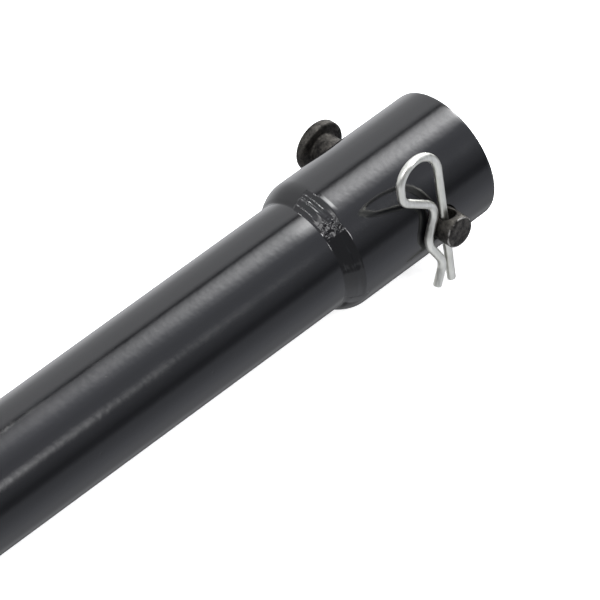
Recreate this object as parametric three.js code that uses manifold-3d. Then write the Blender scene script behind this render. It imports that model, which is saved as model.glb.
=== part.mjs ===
// A tubular spreader beam: one steel tube with a socket welded on each end. Each socket takes a spigot,
// which a clevis pin holds, and an R-clip keeps the pin in.
// Millimetres. X runs along the beam, Y along the pins and Z is up; the origin is the middle of the beam.

import * as THREE from 'three';
import { mergeVertices } from 'three/addons/utils/BufferGeometryUtils.js';
import Module from 'manifold-3d';

// Driving dimensions of the beam and its sockets
const PIN_SPACING = 800;
const TUBE_RADIUS = 21.2;
const TUBE_WALL = 2.6;
const TUBE_SIDES = 48;
const SOCKET_RADIUS = 25;
const SOCKET_WALL = 3.5;
const SOCKET_BORE = SOCKET_RADIUS - SOCKET_WALL;
const MOUTH_FROM_PIN = 25.6;
const TAIL_FROM_PIN = 42.8;
const TUBE_END_FROM_PIN = 22;
const SHOULDER_LENGTH = 8;
const SHOULDER_DROP = 3;
const SHOULDER_STEPS = 5;
const MOUTH_EDGE = 0.6;
const PIN_HOLE_RADIUS = 6.3;
const HOLE_SIDES = 24;

// The two weld stitches at each socket, on opposite sides of the shoulder
const WELD_HEIGHT = 0.8;
const WELD_TOE_HEIGHT = 0.25;
const WELD_FROM_PIN = 37;
const WELD_LENGTH = 7.6;
const WELD_STEPS = 7;
const WELD_HALF_ANGLE = THREE.MathUtils.degToRad(58);
const WELD_ANGLES = {
  weld_upper: THREE.MathUtils.degToRad(142),
  weld_lower: THREE.MathUtils.degToRad(322),
};
const WELD_GAP = 0.4;

// The clevis pin; distances along it are from the beam's axis, the head towards +Y
const PIN_RADIUS = 6;
const PIN_SIDES = 24;
const PIN_TIP = -33.1;
const PIN_TIP_CHAMFER = 0.8;
const HEAD_SEAT = 34.6;
const HEAD_THICKNESS = 4;
const HEAD_RADIUS = 10;
const HEAD_EDGE = 1.2;
const HEAD_FILLET = 0.8;
const CLIP_HOLE_AT = -27.4;
const CLIP_HOLE_RADIUS = 3.2;

// The R-clip's wire, as corners and the radius that each is bent to. The first number of a corner is
// its distance inboard from the pin's axis, and the second is its height.
const WIRE_RADIUS = 1.6;
const WIRE_SIDES = 8;
const WIRE_STEPS = 96;
const CLIP_PLANE = -26.9;
const CLIP_START = [0.5, -24.5];
const CLIP_BENDS = [
  { corner: [2, 32], radius: 11.5 },
  { corner: [19.5, 46.5], radius: 8 },
  { corner: [19.5, 23.5], radius: 6 },
  { corner: [4, 12], radius: 7 },
  { corner: [10, -2], radius: 7.5 },
  { corner: [3.5, -14.5], radius: 6.5 },
];
const CLIP_END = [7.5, -23.5];

const MERGE_DISTANCE = 1e-4;
const CUTTER_LENGTH = 80;

const PAINT = { color: 0x1b1c1f, roughness: 0.12, metalness: 0 };
const BLACK_OXIDE = { color: 0x2c2b29, roughness: 0.55, metalness: 0.8 };
const ZINC = { color: 0xc9ccc6, roughness: 0.3, metalness: 1 };

const wasm = await Module();
wasm.setup();

// Booleans

function toSolid(geometry) {
  const bare = geometry.clone();
  bare.deleteAttribute('normal');
  bare.deleteAttribute('uv');
  const merged = mergeVertices(bare, MERGE_DISTANCE);
  const corners = merged.index.array;
  const triangles = [];
  for (let i = 0; i < corners.length; i += 3) {
    const [a, b, c] = corners.slice(i, i + 3);
    // A lathe leaves triangles of no width where its profile meets the axis
    if (a !== b && b !== c && c !== a) triangles.push(a, b, c);
  }
  return new wasm.Manifold(new wasm.Mesh({
    numProp: 3,
    vertProperties: Float32Array.from(merged.attributes.position.array),
    triVerts: Uint32Array.from(triangles),
  }));
}

function toGeometry(solid) {
  const { vertProperties, triVerts } = solid.getMesh();
  const geometry = new THREE.BufferGeometry();
  geometry.setAttribute('position', new THREE.BufferAttribute(vertProperties, 3));
  geometry.setIndex(new THREE.BufferAttribute(triVerts, 1));
  geometry.computeVertexNormals();
  return geometry;
}

// A profile of [distance along the beam, radius] pairs, turned about the beam's axis. The profile runs
// towards +X on its outside and back on its inside, and closes on itself.
function turnedAboutBeam(profile, sides) {
  const closed = [...profile, profile[0]];
  const points = closed.map(([along, radius]) => new THREE.Vector2(radius, along));
  return new THREE.LatheGeometry(points, sides).rotateZ(-Math.PI / 2);
}

// A quarter-round edge about a centre, from one angle to another, as [along, radius] pairs
function roundedEdge(centre, size, from, to, steps) {
  return Array.from({ length: steps + 1 }, (_, i) => {
    const angle = THREE.MathUtils.lerp(from, to, i / steps);
    return [centre[0] + size * Math.cos(angle), centre[1] + size * Math.sin(angle)];
  });
}

// The beam's own tube, open at both ends

function beamTube() {
  const end = PIN_SPACING / 2 - TUBE_END_FROM_PIN;
  const bore = TUBE_RADIUS - TUBE_WALL;
  return turnedAboutBeam([[-end, TUBE_RADIUS], [end, TUBE_RADIUS], [end, bore], [-end, bore]], TUBE_SIDES);
}

// The right-hand socket, with the pin's axis at x = 0. Its tail tapers down over the tube.

function shoulderRadius(along) {
  const intoShoulder = Math.max(0, SHOULDER_LENGTH - TAIL_FROM_PIN - along);
  return SOCKET_RADIUS - SHOULDER_DROP * (intoShoulder / SHOULDER_LENGTH) ** 2;
}

function socket() {
  const shoulder = Array.from({ length: SHOULDER_STEPS + 1 }, (_, i) => {
    const along = -TAIL_FROM_PIN + SHOULDER_LENGTH * (i / SHOULDER_STEPS);
    return [along, shoulderRadius(along)];
  });
  const edgeCentre = [MOUTH_FROM_PIN - MOUTH_EDGE, SOCKET_RADIUS - MOUTH_EDGE];
  const profile = [
    ...shoulder,
    ...roundedEdge(edgeCentre, MOUTH_EDGE, Math.PI / 2, 0, 2),
    [MOUTH_FROM_PIN, SOCKET_BORE],
    [-TAIL_FROM_PIN, SOCKET_BORE],
  ];
  const body = toSolid(turnedAboutBeam(profile, TUBE_SIDES));
  const pinHole = new THREE.CylinderGeometry(PIN_HOLE_RADIUS, PIN_HOLE_RADIUS, CUTTER_LENGTH, HOLE_SIDES);
  return toGeometry(body.subtract(toSolid(pinHole)));
}

// A weld stitch: a ring over the shoulder and onto the tube, kept between two angles about the beam

function weldFloor(along) {
  return Math.max(TUBE_RADIUS, shoulderRadius(along)) + WELD_GAP;
}

function weldTop(along, share) {
  return weldFloor(along) + WELD_TOE_HEIGHT + (WELD_HEIGHT - WELD_TOE_HEIGHT) * Math.sin(Math.PI * share);
}

function sector(middle, halfAngle) {
  const angles = [-1, -0.5, 0, 0.5, 1].map((share) => middle + share * halfAngle);
  const rim = angles.map((angle) => {
    return new THREE.Vector2(CUTTER_LENGTH * Math.cos(angle), CUTTER_LENGTH * Math.sin(angle));
  });
  const outline = new THREE.Shape([new THREE.Vector2(0, 0), ...rim]);
  const prism = new THREE.ExtrudeGeometry(outline, { depth: 2 * CUTTER_LENGTH, bevelEnabled: false });
  prism.translate(0, 0, -CUTTER_LENGTH);
  const alongBeam = new THREE.Matrix4().makeBasis(
    new THREE.Vector3(0, 1, 0),
    new THREE.Vector3(0, 0, 1),
    new THREE.Vector3(1, 0, 0),
  );
  return prism.applyMatrix4(alongBeam);
}

function weldStitch(middle) {
  const shares = Array.from({ length: WELD_STEPS + 1 }, (_, i) => i / WELD_STEPS);
  const at = (share) => -WELD_FROM_PIN - WELD_LENGTH * (1 - share);
  const profile = [
    ...shares.map((share) => [at(share), weldTop(at(share), share)]),
    ...shares.toReversed().map((share) => [at(share), weldFloor(at(share))]),
  ];
  const ring = toSolid(turnedAboutBeam(profile, TUBE_SIDES));
  return toGeometry(ring.intersect(toSolid(sector(middle, WELD_HALF_ANGLE))));
}

// The clevis pin, turned about its own axis, with the clip's hole across it near the tip

function clevisPin() {
  const headFace = HEAD_SEAT + HEAD_THICKNESS;
  const filletCentre = [HEAD_SEAT - HEAD_FILLET, PIN_RADIUS + HEAD_FILLET];
  const profile = [
    [PIN_TIP, 0],
    [PIN_TIP, PIN_RADIUS - PIN_TIP_CHAMFER],
    [PIN_TIP + PIN_TIP_CHAMFER, PIN_RADIUS],
    ...roundedEdge(filletCentre, HEAD_FILLET, -Math.PI / 2, 0, 2),
    ...roundedEdge([HEAD_SEAT + HEAD_EDGE, HEAD_RADIUS - HEAD_EDGE], HEAD_EDGE, Math.PI, Math.PI / 2, 2),
    ...roundedEdge([headFace - HEAD_EDGE, HEAD_RADIUS - HEAD_EDGE], HEAD_EDGE, Math.PI / 2, 0, 2),
    [headFace, 0],
  ];
  const points = profile.map(([along, radius]) => new THREE.Vector2(radius, along));
  const body = toSolid(new THREE.LatheGeometry(points, PIN_SIDES));
  const hole = new THREE.CylinderGeometry(CLIP_HOLE_RADIUS, CLIP_HOLE_RADIUS, CUTTER_LENGTH, HOLE_SIDES);
  hole.rotateX(Math.PI / 2).translate(0, CLIP_HOLE_AT, 0);
  return toGeometry(body.subtract(toSolid(hole)));
}

// The R-clip: round wire bent in one plane

class FlatRoute extends THREE.Curve {
  constructor(outline) {
    super();
    this.outline = outline;
  }

  getPoint(share, target = new THREE.Vector3()) {
    const point = this.outline.getPoint(share);
    return target.set(point.x, 0, point.y);
  }
}

// A path through corners, each rounded to its own radius
function bentRoute(start, bends, end) {
  const path = new THREE.Path();
  path.moveTo(start.x, start.y);
  bends.forEach(({ corner, radius }, i) => {
    const before = i > 0 ? bends[i - 1].corner : start;
    const after = i < bends.length - 1 ? bends[i + 1].corner : end;
    const arriving = corner.clone().sub(before).normalize();
    const leaving = after.clone().sub(corner).normalize();
    const turn = Math.atan2(arriving.cross(leaving), arriving.dot(leaving));
    const setback = radius * Math.tan(Math.abs(turn) / 2);
    const arcStart = corner.clone().addScaledVector(arriving, -setback);
    const inward = new THREE.Vector2(-arriving.y, arriving.x).multiplyScalar(Math.sign(turn));
    const centre = arcStart.clone().addScaledVector(inward, radius);
    const from = Math.atan2(arcStart.y - centre.y, arcStart.x - centre.x);
    path.lineTo(arcStart.x, arcStart.y);
    path.absarc(centre.x, centre.y, radius, from, from + turn, turn < 0);
  });
  path.lineTo(end.x, end.y);
  return path;
}

function rClip() {
  const place = ([inboard, height]) => new THREE.Vector2(-inboard, height);
  const bends = CLIP_BENDS.map(({ corner, radius }) => ({ corner: place(corner), radius }));
  const route = new FlatRoute(bentRoute(place(CLIP_START), bends, place(CLIP_END)));
  const section = new THREE.Shape(Array.from({ length: WIRE_SIDES }, (_, i) => {
    const angle = 2 * Math.PI * (i / WIRE_SIDES);
    return new THREE.Vector2(WIRE_RADIUS * Math.cos(angle), WIRE_RADIUS * Math.sin(angle));
  }));
  const wire = new THREE.ExtrudeGeometry(section, { steps: WIRE_STEPS, extrudePath: route });
  return wire.translate(0, CLIP_PLANE, 0);
}

// The assembly

function named(name, geometry, finish) {
  const mesh = new THREE.Mesh(geometry, new THREE.MeshStandardMaterial(finish));
  mesh.name = name;
  return mesh;
}

function beamEnd(side) {
  const end = new THREE.Group();
  end.add(named(`socket_${side}`, socket(), PAINT));
  for (const [name, angle] of Object.entries(WELD_ANGLES)) {
    end.add(named(`${name}_${side}`, weldStitch(angle), PAINT));
  }
  end.add(named(`clevis_pin_${side}`, clevisPin(), BLACK_OXIDE));
  end.add(named(`r_clip_${side}`, rClip(), ZINC));
  return end;
}

const beam = new THREE.Group();
beam.add(named('beam_tube', beamTube(), PAINT));

const rightEnd = beamEnd('right');
rightEnd.position.x = PIN_SPACING / 2;
beam.add(rightEnd);

const leftEnd = beamEnd('left');
leftEnd.position.x = -PIN_SPACING / 2;
leftEnd.rotation.z = Math.PI;
beam.add(leftEnd);

export default beam;
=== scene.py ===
"""Looks for the tubular spreader beam: glossy painted tube and sockets, weld stitches, pins and R-clips."""

import math

import bmesh
import bpy
from mathutils import Matrix, Vector, noise


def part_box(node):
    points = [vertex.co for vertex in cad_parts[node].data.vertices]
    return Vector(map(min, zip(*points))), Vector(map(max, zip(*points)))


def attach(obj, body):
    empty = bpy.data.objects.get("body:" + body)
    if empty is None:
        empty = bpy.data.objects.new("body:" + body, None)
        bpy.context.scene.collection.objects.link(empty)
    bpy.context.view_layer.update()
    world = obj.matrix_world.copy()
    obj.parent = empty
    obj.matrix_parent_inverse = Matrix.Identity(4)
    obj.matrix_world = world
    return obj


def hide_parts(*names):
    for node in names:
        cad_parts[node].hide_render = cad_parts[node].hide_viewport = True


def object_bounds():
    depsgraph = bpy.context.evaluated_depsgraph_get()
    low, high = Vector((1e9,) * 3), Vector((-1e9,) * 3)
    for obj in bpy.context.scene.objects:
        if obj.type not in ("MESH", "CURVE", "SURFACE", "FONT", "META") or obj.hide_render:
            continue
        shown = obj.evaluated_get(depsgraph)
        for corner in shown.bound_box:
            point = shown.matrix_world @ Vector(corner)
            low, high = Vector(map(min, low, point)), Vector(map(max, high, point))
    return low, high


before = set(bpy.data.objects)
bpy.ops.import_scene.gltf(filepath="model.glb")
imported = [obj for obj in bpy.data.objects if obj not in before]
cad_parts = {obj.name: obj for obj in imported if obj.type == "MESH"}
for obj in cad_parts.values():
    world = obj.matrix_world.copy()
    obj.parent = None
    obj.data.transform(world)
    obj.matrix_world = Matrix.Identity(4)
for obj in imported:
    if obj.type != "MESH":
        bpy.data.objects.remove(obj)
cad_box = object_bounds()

MM = 0.001


def middle(node):
    low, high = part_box(node)
    return (low + high) / 2 / MM


def extent(node):
    low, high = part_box(node)
    return (high - low) / MM


# Sizes in millimetres. Those that a node's box gives are read from it. The rest repeat the CAD's own, or are
# roundings and lips that are finer than the CAD's. At each end, distances along the beam are from the pin's
# axis, positive towards the socket's mouth.
PIN_AT = middle("clevis_pin_right").x
TUBE_LENGTH = extent("beam_tube").x
TUBE_RADIUS = extent("beam_tube").z / 2
TUBE_BORE = TUBE_RADIUS - 2.6
TUBE_EDGE = 0.3
SOCKET_RADIUS = extent("socket_right").z / 2
SOCKET_BORE = SOCKET_RADIUS - 3.5
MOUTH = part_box("socket_right")[1].x / MM - PIN_AT
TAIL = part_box("socket_right")[0].x / MM - PIN_AT
SHOULDER_LENGTH = 8.0
SHOULDER_DROP = 3.0
# The concave foot of paint that runs from the tube up onto the shoulder
FOOT_START = -43.9
FOOT_END = -42.2
# The mouth's outer edge is rounded more along the beam than across it
MOUTH_ROUNDING = (1.2, 0.45)
# Each weld stitch's name, the direction where it starts in degrees from +Y towards +Z, and its noise seed,
# which is moved on for the left end
STITCHES = (("upper", 84, 11), ("lower", 264, 42))
LEFT_SEED_SHIFT = 100
# How far the socket is sunk under a stitch, the least radius that this leaves, between which distances, and
# how many degrees short of the stitch's ends
WELD_BED = 1.1
WELD_BED_FLOOR = SOCKET_BORE + 0.25
WELD_BED_START = TAIL + 0.3
WELD_BED_END = -36.6
WELD_BED_MARGIN = 2
PIN_HOLE_RADIUS = 6.3
PIN_HOLE_LIP = 0.5
PIN_HOLE_MARGIN = 1.6
PIN_RADIUS = 6.0
PIN_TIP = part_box("clevis_pin_right")[0].y / MM
PIN_CHAMFER = 0.5
# What smooth pieces give up, so that they stay inside the faceted CAD's box
HEAD_ROOM = 0.001
WIRE_ROOM = 0.02
HEAD_RADIUS = extent("clevis_pin_right").x / 2
HEAD_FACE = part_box("clevis_pin_right")[1].y / MM - HEAD_ROOM
HEAD_THICKNESS = 4.0
HEAD_SEAT = HEAD_FACE - HEAD_THICKNESS
HEAD_EDGE = 1.2
HEAD_FILLET = 0.8
CLIP_HOLE_AT = -27.4
CLIP_HOLE_RADIUS = 3.2
CLIP_HOLE_LIP = 0.35
CLIP_HOLE_MARGIN = 0.28
WIRE_RADIUS = extent("r_clip_right").y / 2 - WIRE_ROOM
CLIP_PLANE = middle("r_clip_right").y
# The wire's ends and bends, as (distance inboard from the pin's axis, height), and each bend's radius
CLIP_START = (0.5, -24.5)
CLIP_BENDS = (
    ((2.0, 32.0), 11.5),
    ((19.5, 46.5), 8.0),
    ((19.5, 23.5), 6.0),
    ((4.0, 12.0), 7.0),
    ((10.0, -2.0), 7.5),
    ((3.5, -14.5), 6.5),
)
CLIP_END = (7.5, -23.5)
# The rings that blunt an end, as (distance from the end, share of the radius)
WIRE_END_RINGS = ((0.0, 0.55), (0.04, 0.82), (0.16, 0.95))
ROUTE_STEP = 0.5

BEAM_SIDES = 144
PIN_SIDES = 64
WIRE_SIDES = 24
# Half the width, in grid cells, of the gap that a cross hole is joined into
HOLE_BLOCK = 8


def smooth(value):
    """0 below 0, 1 above 1, and an S between."""
    share = min(1.0, max(0.0, value))
    return share * share * (3 - 2 * share)


def spread(low, high, steps):
    return [low + (high - low) * i / steps for i in range(steps + 1)]


def between(value, limits, rise, fall):
    """0 outside two limits and 1 inside, rising smoothly from the low one and falling to the high one."""
    low, high = limits
    return smooth((value - low) / rise) * smooth((high - value) / fall)


def bump_at(value, centre, width):
    """1 at the centre, falling smoothly to 0 at a width from it."""
    return smooth(1 - abs(value - centre) / width)


# Mesh building


class Skin:
    """Points in millimetres and faces of one piece, gathered loop by loop."""

    def __init__(self):
        self.points = []
        self.faces = []

    def loop(self, points):
        first = len(self.points)
        self.points += [Vector(p) for p in points]
        return list(range(first, len(self.points)))

    def bridge(self, a, b, skip=()):
        """Faces between two closed loops, apart from those that start at a skipped corner."""
        for j in range(len(a)):
            if j not in skip:
                k = (j + 1) % len(a)
                self.faces.append((a[j], a[k], b[k], b[j]))

    def fan(self, loop, centre, outward):
        tip = self.loop([centre])[0]
        for j, a in enumerate(loop):
            b = loop[(j + 1) % len(loop)]
            self.faces.append((a, b, tip) if outward else (b, a, tip))

    def piece(self, name, finish, place=Matrix.Identity(4), sharp=45):
        mesh = bpy.data.meshes.new(name)
        mesh.from_pydata([p * MM for p in self.points], [], self.faces)
        mesh.validate()
        mesh.shade_smooth()
        mesh.set_sharp_from_angle(angle=math.radians(sharp))
        mesh.materials.append(finish)
        made = bpy.data.objects.new(name, mesh)
        bpy.context.scene.collection.objects.link(made)
        made.matrix_world = place
        return made


def turned(skin, profile, sides):
    """A loop about X for each (along, radius) of a profile."""
    angles = [2 * math.pi * j / sides for j in range(sides)]
    return [skin.loop([(x, r * math.cos(a), r * math.sin(a)) for a in angles]) for x, r in profile]


def quarter(centre, size, start, end, steps):
    """A rounded edge of a profile, from one angle to another in degrees."""
    points = []
    for degrees in spread(start, end, steps):
        angle = math.radians(degrees)
        points.append((centre[0] + size * math.cos(angle), centre[1] + size * math.sin(angle)))
    return points


def walk_round(loops, rows, columns):
    """The corners round a block of a turned grid, anticlockwise from outside."""
    walk = [loops[rows[0]][c] for c in columns[:-1]]
    walk += [loops[r][columns[-1]] for r in rows[:-1]]
    walk += [loops[rows[-1]][c] for c in columns[:0:-1]]
    walk += [loops[r][columns[0]] for r in rows[:0:-1]]
    return walk


def loops_to_hole(skin, border, centre, radius, hole, lip, turn, inwards):
    """Loops from the border of a gap in a turned surface, over a rounded lip, onto the wall of a round
    hole. turn is 1 on the +Y side and -1 on the -Y side. inwards is 1 on an outer surface, -1 in a bore."""
    edge = [(skin.points[i].x - centre, skin.points[i].z * turn) for i in border]
    headings = [math.atan2(across, along) for along, across in edge]

    def on_surface(along, across, depth):
        height = math.sqrt(radius**2 - across**2) - depth
        return (centre + along, height * turn, across * turn)

    loops = [border]
    for share in (0.3, 0.6, 0.82, 1.0):
        points = []
        for (along, across), heading in zip(edge, headings):
            ring = Vector((math.cos(heading), math.sin(heading))) * (hole + lip)
            at = Vector((along, across)).lerp(ring, share)
            points.append(on_surface(at.x, at.y, 0))
        loops.append(skin.loop(points))
    for degrees in spread(0, 90, 5)[1:]:
        angle = math.radians(degrees)
        ring = hole + lip * (1 - math.sin(angle))
        depth = lip * (1 - math.cos(angle)) * inwards
        points = [on_surface(ring * math.cos(h), ring * math.sin(h), depth) for h in headings]
        loops.append(skin.loop(points))
    return loops


def bridge_all(skin, loops):
    for a, b in zip(loops, loops[1:]):
        skin.bridge(a, b)


def block_columns(turn, sides):
    centre = 0 if turn > 0 else sides // 2
    return [(centre + k) % sides for k in range(-HOLE_BLOCK, HOLE_BLOCK + 1)]


# The beam's own tube


def beam_tube(finish):
    skin = Skin()
    end = TUBE_LENGTH / 2
    outside = spread(-end + TUBE_EDGE, end - TUBE_EDGE, 24)
    corner = end - TUBE_EDGE
    profile = quarter((-corner, TUBE_RADIUS - TUBE_EDGE), TUBE_EDGE, 180, 90, 3)
    profile += [(x, TUBE_RADIUS) for x in outside[1:-1]]
    profile += quarter((corner, TUBE_RADIUS - TUBE_EDGE), TUBE_EDGE, 90, 0, 3)
    profile += quarter((corner, TUBE_BORE + TUBE_EDGE), TUBE_EDGE, 0, -90, 3)
    profile += [(x, TUBE_BORE) for x in outside[-2:0:-1]]
    profile += quarter((-corner, TUBE_BORE + TUBE_EDGE), TUBE_EDGE, 270, 180, 3)
    loops = turned(skin, profile, BEAM_SIDES)
    bridge_all(skin, loops + loops[:1])
    return skin.piece("tube_painted", finish)


# A socket, with its shoulder down to the tube and a cross hole for the pin


def plain_shoulder(along):
    into = max(0.0, TAIL + SHOULDER_LENGTH - along)
    return SOCKET_RADIUS - SHOULDER_DROP * (into / SHOULDER_LENGTH) ** 2


def shoulder_radius(along):
    """The outside of the socket, with the concave foot that the paint leaves on the tube."""
    if along >= FOOT_END:
        return plain_shoulder(along)
    length = FOOT_END - FOOT_START
    share = max(0.0, (along - FOOT_START) / length)
    slope = 2 * SHOULDER_DROP * (TAIL + SHOULDER_LENGTH - FOOT_END) / SHOULDER_LENGTH**2
    rise = plain_shoulder(FOOT_END) - TUBE_RADIUS
    return TUBE_RADIUS + rise * share**2 * (3 - 2 * share) + slope * length * share**2 * (share - 1)


def sink_under_welds(skin, loop):
    """Lowers the part of a loop that a stitch covers, so that the bead may dip there."""
    for index in loop:
        point = skin.points[index]
        degrees = math.degrees(math.atan2(point.z, point.y))
        for _, start, _ in STITCHES:
            if WELD_BED_MARGIN < (degrees - start) % 360 < WELD_ARC - WELD_BED_MARGIN:
                radius = point.yz.length
                point.yz = point.yz * (max(radius - WELD_BED, WELD_BED_FLOOR) / radius)


def mouth_edge():
    """The profile over the mouth's rim, from the outside to the bore."""
    along, across = MOUTH_ROUNDING
    edge = []
    for degrees in spread(90, 0, 10):
        angle = math.radians(degrees)
        outward = SOCKET_RADIUS - across * (1 - math.sin(angle))
        edge.append((MOUTH - along + along * math.cos(angle), outward))
    return edge + quarter((MOUTH - across, SOCKET_BORE + across), across, 0, -90, 6)


def socket(side, finish, place):
    skin = Skin()
    block = PIN_HOLE_RADIUS + PIN_HOLE_LIP + PIN_HOLE_MARGIN
    rows = spread(-block, block, 2 * HOLE_BLOCK)
    edge = mouth_edge()
    shoulder = spread(FOOT_START, TAIL + SHOULDER_LENGTH, 44)
    outside = [(x, shoulder_radius(x)) for x in shoulder]
    outside += [(x, SOCKET_RADIUS) for x in spread(shoulder[-1], -block, 12)[1:-1]]
    first = len(outside)
    outside += [(x, SOCKET_RADIUS) for x in rows]
    outside += [(x, SOCKET_RADIUS) for x in spread(block, edge[0][0], 8)[1:-1]]
    inside = [(x, SOCKET_BORE) for x in spread(edge[-1][0], block, 4)[1:-1]]
    first_inside = len(outside) + len(edge) + len(inside)
    inside += [(x, SOCKET_BORE) for x in rows[::-1]]
    inside += [(x, SOCKET_BORE) for x in spread(-block, TAIL, 8)[1:]]
    loops = turned(skin, outside + edge + inside, BEAM_SIDES)
    for (along, _), loop in zip(outside, loops):
        if WELD_BED_START < along < WELD_BED_END:
            sink_under_welds(skin, loop)
    holes = {turn: block_columns(turn, BEAM_SIDES) for turn in (1, -1)}
    hidden = [c for columns in holes.values() for c in columns[:-1]]
    outer_rows = range(first, first + 2 * HOLE_BLOCK)
    inner_rows = range(first_inside, first_inside + 2 * HOLE_BLOCK)
    for i, a in enumerate(loops):
        in_block = i in outer_rows or i in inner_rows
        skin.bridge(a, loops[(i + 1) % len(loops)], hidden if in_block else ())
    for turn, columns in holes.items():
        outer = walk_round(loops, [*outer_rows, outer_rows.stop], columns)
        inner = walk_round(loops, [inner_rows.stop, *inner_rows[::-1]], columns)
        hole = (PIN_HOLE_RADIUS, PIN_HOLE_LIP, turn)
        down = loops_to_hole(skin, outer, 0, SOCKET_RADIUS, *hole, inwards=1)
        up = loops_to_hole(skin, inner, 0, SOCKET_BORE, *hole, inwards=-1)
        bridge_all(skin, down + up[::-1])
    return skin.piece(f"socket_painted_{side}", finish, place)


# A weld stitch. It lies over the shoulder, from a crown on the socket down to a toe on the tube. Degrees
# are from the stitch's start, round the beam: passes laid side by side, then spatter and craters, then a
# sunken stretch, and last a smooth collar.

WELD_ARC = 116.0
# How far under the shoulder's surface lie the bead's underside and the level that it starts and ends at, and
# how much deeper its border is tucked in
WELD_SUNK = 1.4
WELD_BASE = 0.02
WELD_EDGE = 0.12
WELD_TOE = -44.9
WELD_CROWN = -34.7
# The bead's section, as (along, radius, slope)
WELD_SECTION = (
    (WELD_TOE, 21.18, 0.0),
    (-44.4, 21.19, 0.02),
    (-43.3, 21.65, 0.7),
    (-41.0, 23.15, 0.55),
    (-39.6, 23.72, 0.14),
    (-38.2, 24.05, 0.38),
    (-37.2, 24.72, 0.85),
    (-36.6, 25.0, 0.1),
    (-36.1, 25.005, 0.0),
    (WELD_CROWN, 25.005, 0.0),
)
# The passes, as (along, half width, height), and the degrees that the first three stretches cover
PASSES = ((-38.7, 0.7, 0.26), (-40.9, 0.85, 0.34), (-42.9, 0.7, 0.36))
PASSES_END = 31
SPATTERED = (29, 54)
SUNKEN = (48, 86)
# The distances between which the bead is uneven, and the heights of its unevenness
UNEVEN = (-44.2, -37.0)
LUMP_HEIGHT = 0.28
PASS_GRAIN = 0.04
SPATTER_GRAIN = 0.12
SUNKEN_DEPTH = 0.12
WAVE_HEIGHT = 0.06
# The lip of the socket's edge beside the passes: the degrees and distances that it covers, and its height
LIP_DEGREES = (12, 34)
LIP_ALONG = (-36.9, WELD_CROWN)
LIP_HEIGHT = 0.1
# Past these degrees, the section between these distances moves this far towards the tube
LATE_START = 34
LATE_ALONG = (-41, -34.8)
LATE_SHIFT = 0.8
# Drops and craters of the spattered stretch, as (degrees, along, size, height)
SPATTER = (
    (35.0, -41.7, 0.75, 0.4),
    (45.5, -41.4, 1.5, -0.5),
    (45.0, -39.8, 0.55, 0.36),
    (39.5, -39.4, 1.2, -0.45),
    (42.0, -43.0, 0.75, 0.32),
    (42.0, -38.2, 0.7, 0.3),
    (38.0, -42.6, 0.9, -0.3),
    (48.5, -38.7, 0.6, 0.3),
)
# Arc length round the bead, at about its middle
MM_PER_DEGREE = 0.41
GRID_ACROSS = 96
GRID_AROUND = 260


def weld_section(along):
    """The radius of the bead's plain section, by cubic pieces through its knots."""
    if along <= WELD_SECTION[0][0]:
        return WELD_SECTION[0][1]
    for (x0, r0, m0), (x1, r1, m1) in zip(WELD_SECTION, WELD_SECTION[1:]):
        if along <= x1:
            span = x1 - x0
            t = (along - x0) / span
            rise = smooth(t)
            bend = span * (m0 * t * (1 - t) ** 2 - m1 * t * t * (1 - t))
            return r0 + (r1 - r0) * rise + bend
    return WELD_SECTION[-1][1]


def rough(along, across, seed):
    """Smooth noise over the bead, from about -1 to 1."""
    return noise.noise(Vector((along, across, seed)))


def spatter_height(along, degrees, seed):
    height = 0.0
    for at, centre, size, rise in SPATTER:
        shift = 1.5 * rough(at, centre, seed)
        away = math.hypot(along - centre - 0.3 * shift, (degrees - at - shift) * MM_PER_DEGREE) / size
        height += rise * smooth(1 - away)
    return height


def weld_radius(along, degrees, seed):
    """The bead's surface: its section, and on it a lip, a lump at the start, passes, spatter and a sunken
    stretch."""
    late = smooth((degrees - LATE_START) / 10)
    upper = between(along, LATE_ALONG, 2, 1.6)
    body = between(along, UNEVEN, 1.0, 1.0)
    passes = smooth((PASSES_END - degrees) / 9)
    spattered = between(degrees, SPATTERED, 6, 6)
    sunken = between(degrees, SUNKEN, 6, 6)
    lip = between(degrees, LIP_DEGREES, 3, 6) * between(along, LIP_ALONG, 0.5, 1.5)
    radius = weld_section(along + LATE_SHIFT * late * upper)
    radius += LIP_HEIGHT * lip
    radius += LUMP_HEIGHT * bump_at(degrees, 3, 3) * body
    for centre, width, rise in PASSES:
        wander = 0.25 * rough(centre, degrees * 0.07, seed + 21)
        radius += passes * rise * bump_at(along, centre + wander, width)
    radius += passes * PASS_GRAIN * body * rough(along * 2.2, degrees * 0.5, seed + 3)
    radius += spattered * spatter_height(along, degrees, seed)
    radius += spattered * body * SPATTER_GRAIN * rough(along * 1.6, degrees * 0.5, seed + 9)
    hollow = SUNKEN_DEPTH - SUNKEN_DEPTH * rough(along * 0.9, degrees * 0.14, seed + 5)
    radius -= sunken * body * hollow
    return radius + WAVE_HEIGHT * body * rough(along * 0.4, degrees * 0.05, seed)


def weld_row(i, start_angle, seed):
    """The (along, radius, angle) of each point across one row of the bead, from toe to crown."""
    row = []
    for j in range(GRID_AROUND + 1):
        degrees = WELD_ARC * j / GRID_AROUND
        # The bead narrows at both of its ends, and its toe wanders a little
        narrow = 1.2 * smooth(1 - degrees / 7) + 0.6 * smooth((degrees - WELD_ARC + 6) / 6)
        toe = WELD_TOE + narrow + 0.12 * rough(degrees * 0.25, 0, seed)
        crown = WELD_CROWN - 2.2 * narrow
        along = toe + (crown - toe) * i / GRID_ACROSS
        radius = shoulder_radius(along) - WELD_BASE
        if i in (0, GRID_ACROSS) or j in (0, GRID_AROUND):
            radius -= WELD_EDGE
        else:
            ends = smooth(degrees / 3) * smooth((WELD_ARC - degrees) / 2)
            radius += (weld_radius(along, degrees, seed) - radius) * ends
        row.append((along, radius, math.radians(start_angle + degrees)))
    return row


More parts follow.
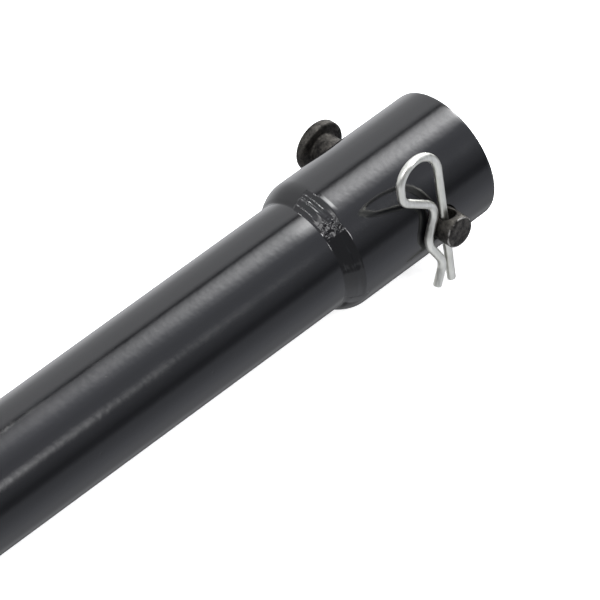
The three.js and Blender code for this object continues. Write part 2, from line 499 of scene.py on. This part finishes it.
def round_the_beam(row):
    return [(x, r * math.cos(a), r * math.sin(a)) for x, r, a in row]


def weld_stitch(name, start_angle, seed, finish, place):
    skin = Skin()
    grid = [weld_row(i, start_angle, seed) for i in range(GRID_ACROSS + 1)]
    sunk = [[(x, shoulder_radius(x) - WELD_SUNK, a) for x, _, a in row] for row in grid]
    top = [skin.loop(round_the_beam(row)) for row in grid]
    below = [skin.loop(round_the_beam(row)) for row in sunk]
    for i in range(GRID_ACROSS):
        for j in range(GRID_AROUND):
            skin.faces.append((top[i][j], top[i][j + 1], top[i + 1][j + 1], top[i + 1][j]))
            skin.faces.append((below[i][j], below[i + 1][j], below[i + 1][j + 1], below[i][j + 1]))
    for j in range(GRID_AROUND):
        skin.faces.append((below[0][j], below[0][j + 1], top[0][j + 1], top[0][j]))
        skin.faces.append((top[-1][j], top[-1][j + 1], below[-1][j + 1], below[-1][j]))
    for i in range(GRID_ACROSS):
        skin.faces.append((top[i][0], top[i + 1][0], below[i + 1][0], below[i][0]))
        skin.faces.append((below[i][-1], below[i + 1][-1], top[i + 1][-1], top[i][-1]))
    return skin.piece(name, finish, place, sharp=50)


# The clevis pin, turned about X and then laid along Y


def clevis_pin(side, finish, place):
    skin = Skin()
    block = CLIP_HOLE_RADIUS + CLIP_HOLE_LIP + CLIP_HOLE_MARGIN
    rows = [CLIP_HOLE_AT + x for x in spread(-block, block, 2 * HOLE_BLOCK)]
    face = PIN_TIP + 0.02
    # The tip's flat face, its small rounded edge, the shank with a gap for the hole, and the head
    profile = [(face, 2.0), (face, 4.0)]
    profile += [(PIN_TIP + 0.03, PIN_RADIUS - PIN_CHAMFER), (PIN_TIP + 0.1, PIN_RADIUS - 0.4)]
    profile += [(PIN_TIP + 0.4, PIN_RADIUS - 0.08), (PIN_TIP + PIN_CHAMFER, PIN_RADIUS)]
    first = len(profile)
    profile += [(x, PIN_RADIUS) for x in rows]
    profile += [(x, PIN_RADIUS) for x in spread(rows[-1], HEAD_SEAT - HEAD_FILLET, 40)[1:-1]]
    profile += quarter((HEAD_SEAT - HEAD_FILLET, PIN_RADIUS + HEAD_FILLET), HEAD_FILLET, -90, 0, 4)
    rim = HEAD_RADIUS - HEAD_EDGE
    profile += [(HEAD_SEAT, rim - 1)]
    profile += quarter((HEAD_SEAT + HEAD_EDGE, rim), HEAD_EDGE, 180, 90, 5)
    profile += quarter((HEAD_FACE - HEAD_EDGE, rim), HEAD_EDGE, 90, 0, 5)
    profile += [(HEAD_FACE, rim - 2), (HEAD_FACE, 3.0)]
    loops = turned(skin, profile, PIN_SIDES)
    holes = {turn: block_columns(turn, PIN_SIDES) for turn in (1, -1)}
    hidden = [c for columns in holes.values() for c in columns[:-1]]
    gap_rows = range(first, first + 2 * HOLE_BLOCK)
    for i, a in enumerate(loops[:-1]):
        skin.bridge(a, loops[i + 1], hidden if i in gap_rows else ())
    skin.fan(loops[0], (face, 0, 0), outward=False)
    skin.fan(loops[-1], (HEAD_FACE, 0, 0), outward=True)
    walls = {}
    for turn, columns in holes.items():
        border = walk_round(loops, [*gap_rows, gap_rows.stop], columns)
        hole = (CLIP_HOLE_RADIUS, CLIP_HOLE_LIP, turn)
        run = loops_to_hole(skin, border, CLIP_HOLE_AT, PIN_RADIUS, *hole, inwards=1)
        bridge_all(skin, run)
        walls[turn] = run[-1]
    far = walls[-1]
    mirrored = [far[(2 * HOLE_BLOCK - k) % len(far)] for k in range(len(far))]
    skin.bridge(walls[1], mirrored)
    lay = Matrix(((0, 0, 1), (1, 0, 0), (0, 1, 0)))
    skin.points = [lay @ p for p in skin.points]
    return skin.piece(f"pin_turned_{side}", finish, place)


# The R-clip's wire


def bent_route(start, bends, end, step):
    """Points along straight stretches joined by bends, each (corner, radius), about a step apart."""
    corners = [Vector(start)] + [Vector(c) for c, _ in bends] + [Vector(end)]
    points = [corners[0]]

    def straight_to(target):
        tail = points[-1]
        runs = max(1, round((target - tail).length / step))
        points.extend(tail.lerp(target, k / runs) for k in range(1, runs + 1))

    for i, (_, radius) in enumerate(bends, 1):
        before, corner, after = corners[i - 1 : i + 2]
        arriving = (corner - before).normalized()
        leaving = (after - corner).normalized()
        turn = math.atan2(arriving.x * leaving.y - arriving.y * leaving.x, arriving.dot(leaving))
        arc_start = corner - arriving * radius * math.tan(abs(turn) / 2)
        straight_to(arc_start)
        spoke = Vector((arriving.y, -arriving.x)) * math.copysign(radius, turn)
        runs = max(2, round(radius * abs(turn) / step))
        for k in range(1, runs + 1):
            points.append(arc_start - spoke + Matrix.Rotation(turn * k / runs, 2) @ spoke)
    straight_to(corners[-1])
    return points


def outboard(point):
    """A point of the clip with its first number turned from inboard to along the beam."""
    return (-point[0], point[1])


def wire_ring(at, heading, size):
    """The points of one ring round the wire, where it runs along a heading in its plane."""
    centre = Vector((at.x, CLIP_PLANE, at.y))
    out = Vector((heading.y, 0, -heading.x))
    ring = []
    for k in range(WIRE_SIDES):
        angle = 2 * math.pi * k / WIRE_SIDES
        ring.append(centre + size * (out * math.cos(angle) + Vector((0, math.sin(angle), 0))))
    return ring


def r_clip(side, finish, place):
    skin = Skin()
    bends = [(outboard(corner), radius) for corner, radius in CLIP_BENDS]
    route = bent_route(outboard(CLIP_START), bends, outboard(CLIP_END), ROUTE_STEP)
    last = len(route) - 1
    loops = []
    for i, at in enumerate(route):
        heading = (route[min(i + 1, last)] - route[max(i - 1, 0)]).normalized()
        rings = ((0.0, 1.0),)
        if i == 0:
            rings = WIRE_END_RINGS
        elif i == last:
            rings = [(-shift, share) for shift, share in WIRE_END_RINGS[::-1]]
        for shift, share in rings:
            loops.append(skin.loop(wire_ring(at + heading * shift, heading, WIRE_RADIUS * share)))
    bridge_all(skin, loops)
    skin.fan(loops[0], (route[0].x, CLIP_PLANE, route[0].y), outward=False)
    skin.fan(loops[-1], (route[-1].x, CLIP_PLANE, route[-1].y), outward=True)
    return skin.piece(f"clip_wire_{side}", finish, place, sharp=60)


# Finishes

# Depths of relief in metres, on the paint, the pin and the clip
PEEL_DEPTH = 0.00002
PIT_DEPTH = 0.00008
PATCH_DEPTH = 0.0002
GRAIN_DEPTH = 0.00004
STREAK_DEPTH = 0.00003


class NodeTree:
    """Short ways to add nodes to a material or to the world."""

    def __init__(self, owner):
        owner.use_nodes = True
        self.nodes = owner.node_tree.nodes
        self.links = owner.node_tree.links

    def add(self, kind, settings=None, inputs=None):
        node = self.nodes.new(kind)
        for key, value in (settings or {}).items():
            setattr(node, key, value)
        for key, value in (inputs or {}).items():
            if isinstance(value, bpy.types.NodeSocket):
                self.links.new(value, node.inputs[key])
            else:
                node.inputs[key].default_value = value
        return node

    def rerange(self, value, low, high, to_low, to_high):
        names = ("Value", "From Min", "From Max", "To Min", "To Max")
        values = dict(zip(names, (value, low, high, to_low, to_high)))
        return self.add("ShaderNodeMapRange", {"clamp": True}, values).outputs["Result"]

    def maths(self, operation, *values):
        return self.add("ShaderNodeMath", {"operation": operation}, dict(enumerate(values))).outputs[0]

    def ramp(self, share, stops):
        """A colour ramp, with each stop as (position, colour)."""
        node = self.add("ShaderNodeValToRGB", {}, {"Fac": share})
        elements = node.color_ramp.elements
        while len(elements) < len(stops):
            elements.new(0.5)
        for element, (position, _) in zip(elements, stops):
            element.position = position
        for element, (_, colour) in zip(elements, stops):
            element.color = (*colour, 1)
        return node.outputs["Color"]


class Finish(NodeTree):
    """A node material on a principled shader."""

    def __init__(self, name):
        self.material = bpy.data.materials.new(name)
        super().__init__(self.material)
        self.shader = self.nodes["Principled BSDF"]
        self.place = self.nodes.new("ShaderNodeTexCoord").outputs["Object"]

    def speckle(self, per_metre, detail=2.0, roughness=0.5, stretch=(1, 1, 1)):
        where = self.add("ShaderNodeMapping", {}, {"Vector": self.place, "Scale": stretch}).outputs[0]
        values = {"Vector": where, "Scale": per_metre, "Detail": detail, "Roughness": roughness}
        return self.add("ShaderNodeTexNoise", {}, values).outputs["Fac"]

    def mix(self, share, dark, light):
        colours = {0: share, 6: dark, 7: light}
        return self.add("ShaderNodeMix", {"data_type": "RGBA"}, colours).outputs[2]

    def bump(self, height, distance, below=None):
        values = {"Height": height, "Distance": distance, "Strength": 1.0}
        if below is not None:
            values["Normal"] = below
        return self.add("ShaderNodeBump", {}, values).outputs["Normal"]

    def wire(self, **sockets):
        for key, value in sockets.items():
            socket_name = key.replace("_", " ").title().replace("Ior", "IOR")
            if isinstance(value, bpy.types.NodeSocket):
                self.links.new(value, self.shader.inputs[socket_name])
            else:
                self.shader.inputs[socket_name].default_value = value
        return self.material


def paint(name, rough_low, rough_high):
    """Glossy black powder coat: near-black body, faint orange peel and a few tiny pits."""
    finish = Finish(name)
    cloud = finish.speckle(35, detail=3)
    colour = finish.mix(cloud, (0.0020, 0.0021, 0.0026, 1), (0.0036, 0.0038, 0.0046, 1))
    gloss = finish.rerange(finish.speckle(90, detail=4), 0.35, 0.7, rough_low, rough_high)
    waves = finish.speckle(420, detail=1.0)
    cells = finish.add("ShaderNodeTexVoronoi", {}, {"Vector": finish.place, "Scale": 150})
    dents = finish.rerange(cells.outputs["Distance"], 0.02, 0.06, -1, 0)
    here = finish.rerange(finish.speckle(80, detail=0), 0.56, 0.6, 0, 1)
    pits = finish.maths("MULTIPLY", dents, here)
    relief = finish.bump(pits, PIT_DEPTH, finish.bump(waves, PEEL_DEPTH))
    return finish.wire(base_color=colour, roughness=gloss, ior=1.5, normal=relief)


def worn_tip(finish):
    """1 where the edge of the pin's tip is rubbed to bare metal, in patches, and 0 elsewhere."""
    x, y, z = finish.add("ShaderNodeSeparateXYZ", {}, {0: finish.place}).outputs
    squares = finish.maths("ADD", finish.maths("MULTIPLY", x, x), finish.maths("MULTIPLY", z, z))
    off_axis = finish.maths("POWER", squares, 0.5)
    at_tip = finish.rerange(y, (PIN_TIP + 0.45) * MM, (PIN_TIP + 0.3) * MM, 0, 1)
    at_edge = finish.rerange(off_axis, (PIN_RADIUS - 0.65) * MM, (PIN_RADIUS - 0.5) * MM, 0, 1)
    rubbed = finish.rerange(finish.speckle(500, detail=2), 0.44, 0.56, 0, 0.9)
    return finish.maths("MULTIPLY", finish.maths("MULTIPLY", at_tip, at_edge), rubbed)


def pin_steel():
    """Black oxide on a forged pin: dark warm grey and mottled, with its tip's edge worn."""
    finish = Finish("black_oxide_steel")
    patches = finish.speckle(420, detail=5, roughness=0.7)
    grain = finish.speckle(1500, detail=3)
    share = finish.rerange(patches, 0.38, 0.66, 0, 1)
    dark = finish.mix(share, (0.014, 0.013, 0.012, 1), (0.075, 0.070, 0.062, 1))
    colour = finish.mix(worn_tip(finish), dark, (0.36, 0.35, 0.33, 1))
    gloss = finish.rerange(patches, 0.35, 0.7, 0.6, 0.42)
    relief = finish.bump(grain, GRAIN_DEPTH, finish.bump(patches, PATCH_DEPTH))
    return finish.wire(base_color=colour, metallic=0.85, roughness=gloss, normal=relief)


def clip_zinc():
    """Bright zinc plate on drawn wire: pale grey with soft streaks along the wire."""
    finish = Finish("zinc_plated_wire")
    streaks = finish.speckle(1300, detail=3, stretch=(1, 1, 0.12))
    patches = finish.speckle(180, detail=2)
    blend = finish.maths("MULTIPLY_ADD", streaks, 0.6, finish.maths("MULTIPLY", patches, 0.4))
    share = finish.rerange(blend, 0.3, 0.7, 0, 1)
    colour = finish.mix(share, (0.53, 0.535, 0.49, 1), (0.79, 0.79, 0.74, 1))
    gloss = finish.rerange(streaks, 0.3, 0.7, 0.28, 0.46)
    relief = finish.bump(streaks, STREAK_DEPTH)
    return finish.wire(base_color=colour, metallic=1.0, roughness=gloss, normal=relief)


def pale_floor():
    """Matt and nearly white, helped by a glow of its own."""
    finish = Finish("pale_floor")
    tone = finish.mix(finish.speckle(1.5), (0.78, 0.78, 0.78, 1), (0.82, 0.82, 0.82, 1))
    return finish.wire(
        base_color=tone, roughness=0.9, emission_color=(1, 1, 1, 1), emission_strength=0.8
    )


# The studio

# What stands round the beam, by direction about its axis in degrees from +Y towards +Z, as
# (direction, brightness, tint towards blue)
STUDIO = (
    (-84, 0.52, 0.3),
    (-76, 0.36, 0.3),
    (-68, 0.2, 0.3),
    (-60, 0.16, 0.3),
    (-48, 0.38, 0.3),
    (-38, 0.62, 0.3),
    (-22, 1.1, 0.3),
    (-8, 1.25, 0.3),
    (8, 1.02, 0.3),
    (30, 1.25, 0.3),
    (50, 1.55, 0.3),
    (57, 0.95, 0.4),
    (59.5, 0.15, 0.5),
    (62.5, 0.15, 0.5),
    (65.5, 1.15, 0.5),
    (74, 1.85, 0.5),
    (82, 2.25, 0.5),
    (90, 2.05, 0.7),
    (99, 1.4, 1),
    (108, 1.1, 1),
    (122, 0.88, 1),
    (142, 0.9, 1),
    (154, 0.62, 1),
    (166, 0.45, 1),
    (180, 0.2, 1),
    (187, 0.24, 1),
    (196, 0.62, 1),
    (226, 0.78, 1),
    (244, 0.72, 0.7),
    (262, 0.48, 0.5),
)
# The same for directions that lean towards the left end, which the right end's shoulder mirrors
STUDIO_BEHIND = (
    (-78, 0.2, 0.3),
    (-50, 0.5, 0.3),
    (-30, 0.8, 0.3),
    (-14, 1.0, 0.3),
    (2, 0.8, 0.3),
    (20, 0.95, 0.3),
    (40, 1.15, 0.3),
    (66, 1.1, 0.5),
    (90, 1.4, 0.5),
    (110, 0.8, 0.5),
    (130, 0.45, 0.6),
    (146, 0.33, 0.6),
    (194, 0.33, 0.6),
    (206, 0.75, 0.6),
    (226, 0.85, 0.6),
    (242, 0.95, 0.6),
    (262, 0.8, 0.5),
)
# Large lamps, each as its (direction, share) round the beam and its (lean, brightness) along it, where lean
# is the direction's part along the beam. The key panel is brighter towards the right end, and its edge more
# so. The last stands towards the left end.
KEY_PANEL = (
    ((59, 0.0), (64, 0.2), (67, 0.4), (74, 0.86), (82, 1.0), (90, 0.82), (98, 0.3), (110, 0.0)),
    (
        (0.41, 0.0), (0.435, 1.0), (0.45, 2.1), (0.474, 4.9),
        (0.497, 6.4), (0.6, 13.0), (0.72, 13.0), (0.86, 2.5),
    ),
)
KEY_EDGE = (
    ((78, 0.0), (84, 0.5), (90, 1.0), (98, 0.6), (107, 0.0)),
    ((0.484, 0.0), (0.4925, 2.2), (0.4965, 3.4), (0.7, 3.4), (0.8, 0.0)),
)
FRONT_LAMP = (
    ((135, 0.0), (140, 0.5), (146, 1.0), (150, 0.4), (154, 0.0)),
    ((0.13, 0.0), (0.18, 30.0), (0.34, 30.0), (0.37, 7.0), (0.41, 3.8), (0.425, 1.6), (0.45, 0.0)),
)
LEFT_LAMP = (
    ((88, 0.0), (104, 1.0), (116, 1.0), (132, 0.0)),
    ((-0.9, 0.0), (-0.75, 6.0), (-0.6, 6.0), (-0.45, 0.0)),
)
LAMPS = (KEY_PANEL, KEY_EDGE, FRONT_LAMP, LEFT_LAMP)
# The light straight beyond the beam's ends, dim so that the paint stays black in an end view
END_LIGHT = (0.22, 0.225, 0.24, 1)
# The leans over which STUDIO takes over from STUDIO_BEHIND, and over which END_LIGHT takes over from both
AHEAD = (-0.05, 0.38)
ENDWISE = (0.92, 0.985)


def turn_share(degrees):
    """Where a direction about the beam falls on a ramp whose ends meet underneath, at -90 degrees."""
    return (degrees + 90) % 360 / 360


def grey(level):
    return (level, level, level)


def lit_by(tree, around, leaning, panel, along):
    """The brightness of a lamp with one fall-off round the beam and another along it."""
    across = tree.ramp(around, [(turn_share(degrees), grey(level)) for degrees, level in panel])
    peak = max(level for _, level in along)
    reach = tree.ramp(leaning, [((lean + 1) / 2, grey(level / peak)) for lean, level in along])
    return tree.maths("MULTIPLY", tree.maths("MULTIPLY", across, reach), peak)


def panels(tree, around, stops):
    """A background of bands by direction about the beam."""
    peak = max(bright for _, bright, _ in stops)
    colours = []
    for degrees, bright, cool in sorted(stops, key=lambda stop: turn_share(stop[0])):
        shade = bright / peak
        tint = (shade, shade * (1 + 0.025 * cool), shade * (1 + 0.12 * cool))
        colours.append((turn_share(degrees), tint))
    colour = tree.ramp(around, colours)
    return tree.add("ShaderNodeBackground", {}, {"Color": colour, "Strength": peak}).outputs[0]


def blended(tree, share, a, b):
    """One shader where the share is 0, and another where it is 1."""
    return tree.add("ShaderNodeMixShader", {}, {0: share, 1: a, 2: b}).outputs[0]


def studio_world():
    """Long soft panels along the beam, so its highlights run straight from end to end in any view."""
    world = bpy.data.worlds.new("studio")
    bpy.context.scene.world = world
    tree = NodeTree(world)
    tree.nodes.clear()
    where = tree.add("ShaderNodeTexCoord").outputs["Generated"]
    x, y, z = tree.add("ShaderNodeSeparateXYZ", {}, {0: where}).outputs
    angle = tree.maths("ARCTAN2", tree.maths("MULTIPLY", y, -1), z)
    around = tree.rerange(angle, -math.pi, math.pi, 0, 1)
    leaning = tree.rerange(x, -1, 1, 0, 1)
    ahead = tree.rerange(x, *AHEAD, 0, 1)
    room = blended(tree, ahead, panels(tree, around, STUDIO_BEHIND), panels(tree, around, STUDIO))
    dim = tree.add("ShaderNodeBackground", {}, {"Color": END_LIGHT}).outputs[0]
    endwise = tree.rerange(tree.maths("ABSOLUTE", x), *ENDWISE, 0, 1)
    room = blended(tree, endwise, room, dim)
    strength = 0
    for panel, along in LAMPS:
        strength = tree.maths("ADD", lit_by(tree, around, leaning, panel, along), strength)
    lamps = tree.add("ShaderNodeBackground", {}, {"Strength": strength}).outputs[0]
    both = tree.add("ShaderNodeAddShader", {}, {0: room, 1: lamps}).outputs[0]
    tree.add("ShaderNodeOutputWorld", {}, {"Surface": both})


# In metres, from the right end's pin
LAMP_DISTANCE = 1.6
# The small lamps that give the sparkle on the weld, its spatter and the mouth's rim, each as
# (name, direction from that pin, width in metres, radiance)
SMALL_LAMPS = (
    ("sparkle_lamp", (0.22, 0.42, 0.88), 0.24, 22),
    ("spatter_lamp", (-0.15, -0.5, 0.85), 0.16, 42),
    ("rim_lamp", (0.87, 0.2, 0.42), 0.35, 42),
)


def small_lamp(name, direction, width, radiance):
    """A small bright round lamp, aimed at the right end."""
    area = math.pi * width**2 / 4
    lamp = bpy.data.lights.new(name, "AREA")
    lamp.shape = "DISK"
    lamp.size = width
    lamp.energy = radiance * math.pi * area
    made = bpy.data.objects.new(name, lamp)
    bpy.context.scene.collection.objects.link(made)
    towards = Vector(direction).normalized()
    made.location = Vector((PIN_AT * MM, 0, 0)) + towards * LAMP_DISTANCE
    made.rotation_euler = towards.to_track_quat("Z", "Y").to_euler()
    made.visible_camera = False


# In metres
FLOOR_REACH = 24
BACKDROP_RADIUS = 22


def stage_piece(name, shape, finish):
    """Floor or backdrop: only the camera sees it, so the paint mirrors the studio alone."""
    mesh = bpy.data.meshes.new(name)
    shape.to_mesh(mesh)
    shape.free()
    mesh.materials.append(finish)
    made = bpy.data.objects.new(name, mesh)
    bpy.context.scene.collection.objects.link(made)
    made.visible_glossy = False
    made.visible_diffuse = False
    made.visible_shadow = False
    made.visible_transmission = False
    return made


def floor(finish):
    reach = Matrix.Diagonal((FLOOR_REACH, FLOOR_REACH, 1, 1))
    shape = bmesh.new()
    bmesh.ops.create_grid(shape, x_segments=4, y_segments=4, size=1, matrix=reach)
    made = stage_piece("floor", shape, finish)
    made.location.z = cad_box[0][2]


def backdrop(finish):
    shape = bmesh.new()
    bmesh.ops.create_uvsphere(shape, u_segments=64, v_segments=32, radius=BACKDROP_RADIUS)
    stage_piece("backdrop", shape, finish)


# The camera looks at the right socket from the front, the left and above. Its azimuth is from -Y towards
# +X, and its roll is about its own line of sight. Distances are in metres, and the lens and the sensor are
# in millimetres.
CAMERA_AZIMUTH = math.radians(-39.3)
CAMERA_ELEVATION = math.radians(42.7)
CAMERA_ROLL = math.radians(-7.2)
CAMERA_DISTANCE = 1.981
PIN_RIGHT_OF_CENTRE = 0.03211
PIN_ABOVE_CENTRE = 0.03783
LENS = 342.05
SENSOR_WIDTH = 36


def camera():
    data = bpy.data.cameras.new("camera")
    data.sensor_width = SENSOR_WIDTH
    data.lens = LENS
    data.clip_end = 100
    made = bpy.data.objects.new("camera", data)
    bpy.context.scene.collection.objects.link(made)
    level = Vector((math.cos(CAMERA_AZIMUTH), math.sin(CAMERA_AZIMUTH), 0))
    outward = Vector((math.sin(CAMERA_AZIMUTH), -math.cos(CAMERA_AZIMUTH), 0))
    back = outward * math.cos(CAMERA_ELEVATION) + Vector((0, 0, math.sin(CAMERA_ELEVATION)))
    right = level * math.cos(CAMERA_ROLL) + back.cross(level) * math.sin(CAMERA_ROLL)
    up = back.cross(right)
    at = Vector((PIN_AT * MM, 0, 0)) + back * CAMERA_DISTANCE
    at -= right * PIN_RIGHT_OF_CENTRE + up * PIN_ABOVE_CENTRE
    turn = Matrix((right, up, back)).transposed().to_4x4()
    made.matrix_world = Matrix.Translation(at) @ turn
    bpy.context.scene.camera = made


def dress(piece, body, node):
    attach(piece, body)
    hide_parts(node)


coat = paint("black_powder_coat", 0.09, 0.13)
weld_coat = paint("black_powder_coat_on_weld", 0.06, 0.12)
oxide = pin_steel()
zinc = clip_zinc()

dress(beam_tube(coat), "beam", "beam_tube")
ENDS = {
    "right": Matrix.Translation((PIN_AT * MM, 0, 0)),
    "left": Matrix.Rotation(math.pi, 4, "Z") @ Matrix.Translation((PIN_AT * MM, 0, 0)),
}
for side, place in ENDS.items():
    dress(socket(side, coat, place), "beam", f"socket_{side}")
    for level, angle, seed in STITCHES:
        seed += LEFT_SEED_SHIFT if side == "left" else 0
        name = f"weld_bead_{level}_{side}"
        bead = weld_stitch(name, angle, seed, weld_coat, place)
        dress(bead, "beam", f"weld_{level}_{side}")
    dress(clevis_pin(side, oxide, place), f"pin_{side}", f"clevis_pin_{side}")
    dress(r_clip(side, zinc, place), f"clip_{side}", f"r_clip_{side}")

studio_world()
for settings in SMALL_LAMPS:
    small_lamp(*settings)
pale = pale_floor()
floor(pale)
backdrop(pale)
camera()
bpy.context.scene.view_settings.view_transform = "Standard"
